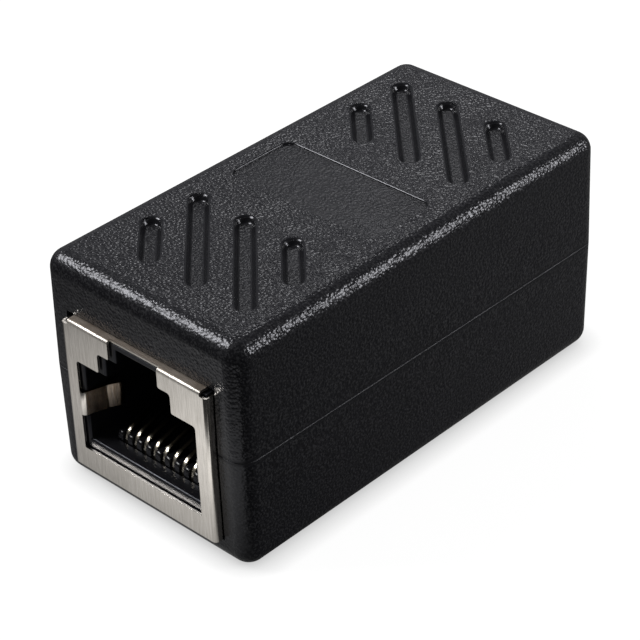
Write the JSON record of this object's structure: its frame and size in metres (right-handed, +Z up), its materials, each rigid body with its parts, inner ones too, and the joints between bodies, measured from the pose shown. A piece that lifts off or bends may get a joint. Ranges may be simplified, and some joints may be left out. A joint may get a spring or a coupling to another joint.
{
  "type": "rj45 inline coupler",
  "caption": "Black moulded box joining two network cords end to end, with a shielded modular jack at each end, a label field and slanting blind slots on top.",
  "frame": {"origin": "middle of the underside, on the plane it rests on", "axes": "+X across the ports, +Y along the box from the front port to the rear port, +Z up out of the label side"},
  "size_m": [0.0204, 0.0418, 0.0197],
  "materials": {
    "housing": "black moulded ABS, fine spark-eroded grain",
    "board": "green solder mask on glass-fibre laminate",
    "shield": "satin nickel plate on folded sheet, fine rolled grain",
    "jack": "black moulded thermoplastic, semi-gloss",
    "carrier": "black moulded thermoplastic, satin",
    "contact": "gold flash on bent flat wire"
  },
  "bodies": {
    "root": {"upper_shell": "housing", "lower_shell": "housing", "circuit_board": "board", "front_jack_shield": "shield", "front_jack_body": "jack", "front_contact_carrier": "carrier", "front_wire_guide": "carrier", "front_contact_1": "contact", "front_contact_2": "contact", "front_contact_3": "contact", "front_contact_4": "contact", "front_contact_5": "contact", "front_contact_6": "contact", "front_contact_7": "contact", "front_contact_8": "contact", "rear_jack_shield": "shield", "rear_jack_body": "jack", "rear_contact_carrier": "carrier", "rear_wire_guide": "carrier", "rear_contact_1": "contact", "rear_contact_2": "contact", "rear_contact_3": "contact", "rear_contact_4": "contact", "rear_contact_5": "contact", "rear_contact_6": "contact", "rear_contact_7": "contact", "rear_contact_8": "contact"}
  },
  "joints": []
}
